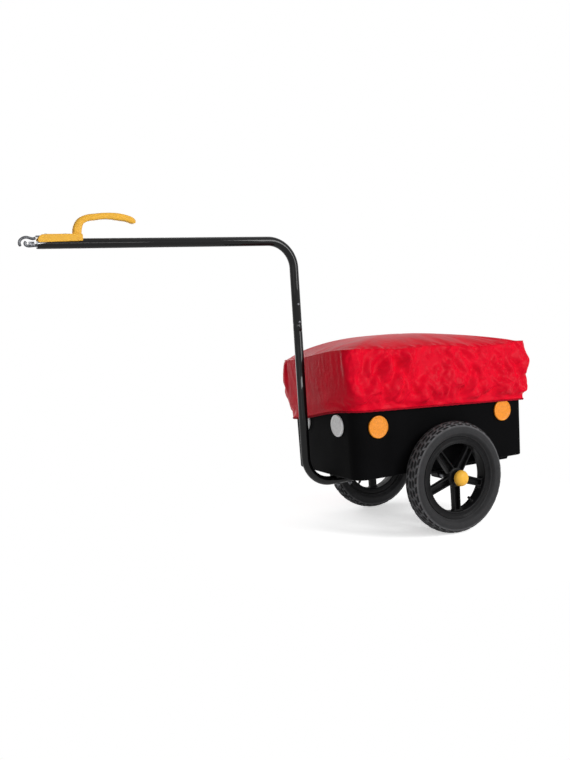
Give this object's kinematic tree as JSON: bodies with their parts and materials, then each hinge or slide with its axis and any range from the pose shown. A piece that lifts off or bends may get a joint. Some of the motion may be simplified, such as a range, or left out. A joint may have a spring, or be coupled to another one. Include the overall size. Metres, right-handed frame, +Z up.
{
  "type": "bicycle trailer",
  "caption": "Luggage trailer for a bicycle: moulded tub with a fitted cloth cover on two spoked wheels, towed by a swan-neck drawbar with a squeeze-handled coupling.",
  "frame": {"origin": "on the ground under the middle of the whole trailer's box", "axes": "+X forward to the bicycle, +Y left, +Z up"},
  "size_m": [1.413, 0.516, 0.9269],
  "materials": {
    "tub": "satin moulded polyethylene",
    "drawbar": "gloss black powder coat",
    "steel": "zinc plated",
    "rubber": "moulded rubber",
    "innerTube": "butyl rubber",
    "rim": "satin moulded nylon",
    "bush": "moulded acetal",
    "blackPlastic": "satin moulded plastic",
    "yellow": "satin moulded plastic",
    "amber": "clear-faced reflector",
    "red": "clear-faced reflector",
    "white": "clear-faced reflector",
    "cloth": "coated woven nylon",
    "elastic": "covered elastic cord"
  },
  "bodies": {
    "chassis": {"tub": "tub", "axle": "steel", "axle_nut_left": "steel", "axle_spacer_left": "steel", "axle_bracket_left": "blackPlastic", "bracket_bolt_left_front": "steel", "bracket_bolt_left_rear": "steel", "axle_nut_right": "steel", "axle_spacer_right": "steel", "axle_bracket_right": "blackPlastic", "bracket_bolt_right_front": "steel", "bracket_bolt_right_rear": "steel", "lower_drawbar": "drawbar", "upper_drawbar": "drawbar", "drawbar_rear_plug": "blackPlastic", "drawbar_saddle": "blackPlastic", "saddle_bolt_front": "steel", "saddle_nut_front": "steel", "saddle_bolt_rear": "steel", "saddle_nut_rear": "steel", "button_spring_upper": "steel", "button_spring_lower": "steel", "lower_jaw": "steel", "coupling_block": "steel", "return_spring": "steel", "pivot_pin": "steel", "side_reflector_left_front": "amber", "side_reflector_left_rear": "amber", "front_reflector_left": "white", "rear_reflector_left": "red", "side_reflector_right_front": "amber", "side_reflector_right_rear": "amber", "front_reflector_right": "white", "rear_reflector_right": "red"},
    "left_wheel": {"left_tyre": "rubber", "left_inner_tube": "innerTube", "left_rim": "rim", "left_bush_inner": "bush", "left_bush_outer": "bush", "left_hub_cap": "yellow", "left_valve_cap": "blackPlastic"},
    "right_wheel": {"right_tyre": "rubber", "right_inner_tube": "innerTube", "right_rim": "rim", "right_bush_inner": "bush", "right_bush_outer": "bush", "right_hub_cap": "yellow", "right_valve_cap": "blackPlastic"},
    "cover": {"cover": "cloth", "hem_elastic": "elastic"},
    "coupling_lever": {"coupling_lever": "yellow", "upper_jaw": "steel", "lever_bolt_front": "steel", "lever_bolt_rear": "steel"},
    "snap_button_upper": {"snap_button_upper": "steel"},
    "snap_button_lower": {"snap_button_lower": "steel"}
  },
  "joints": [
    {"name": "left_wheel_spin", "type": "hinge", "parent": "chassis", "child": "left_wheel", "pos_m": [-0.39161, 0.213, 0.1585], "axis": [0, 1, 0], "continuous": true},
    {"name": "right_wheel_spin", "type": "hinge", "parent": "chassis", "child": "right_wheel", "pos_m": [-0.39161, -0.213, 0.1585], "axis": [0, 1, 0], "continuous": true},
    {"name": "cover_lift", "type": "slide", "parent": "chassis", "child": "cover", "axis": [0, 0, 1], "range_m": [0, 0.25]},
    {"name": "coupling_lever_pivot", "type": "hinge", "parent": "chassis", "child": "coupling_lever", "pos_m": [0.56339, 0, 0.86], "axis": [0, -1, 0], "range_deg": [0, 10], "stiffness_Nm_per_rad": 3, "springref_deg": -8.59, "deforming": ["return_spring"]},
    {"name": "snap_button_upper_press", "type": "slide", "parent": "chassis", "child": "snap_button_upper", "axis": [0, -1, 0], "range_m": [0, 0.005], "stiffness_N_per_m": 800, "springref_m": -0.002, "deforming": ["button_spring_upper"]},
    {"name": "snap_button_lower_press", "type": "slide", "parent": "chassis", "child": "snap_button_lower", "axis": [0, -1, 0], "range_m": [0, 0.005], "stiffness_N_per_m": 800, "springref_m": -0.002, "deforming": ["button_spring_lower"]}
  ]
}
